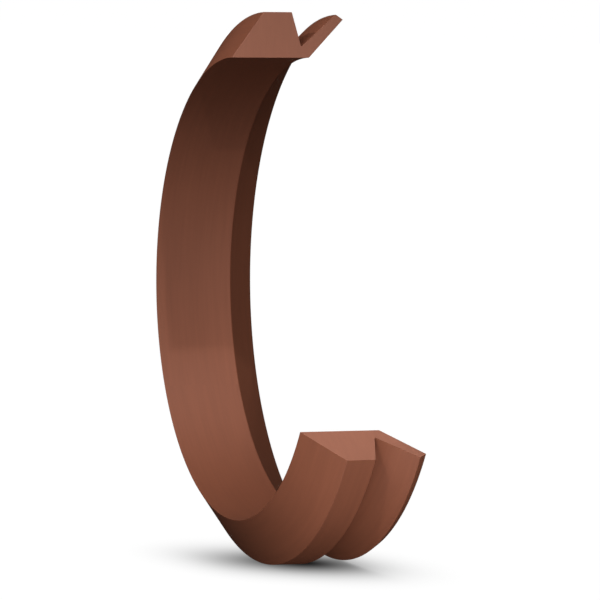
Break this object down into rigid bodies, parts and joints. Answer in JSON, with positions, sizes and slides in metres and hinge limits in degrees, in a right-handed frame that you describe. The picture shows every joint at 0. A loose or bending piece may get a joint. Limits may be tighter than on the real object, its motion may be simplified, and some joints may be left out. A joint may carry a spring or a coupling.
{
  "type": "v-ring",
  "caption": "Cut-away sample of a rubber V-ring shaft seal: an open ring with a tapered body, a deep notch and a thin flared sealing lip.",
  "frame": {"origin": "the point on the ring's axis in the plane that the edge of the lip touches", "axes": "+Z along the axis from the lip towards the back edge, +X through the middle of the gap that is cut out"},
  "size_m": [0.0442, 0.0604, 0.013],
  "materials": {
    "rubber": "matte"
  },
  "bodies": {
    "root": {"v_ring": "rubber"}
  },
  "joints": []
}
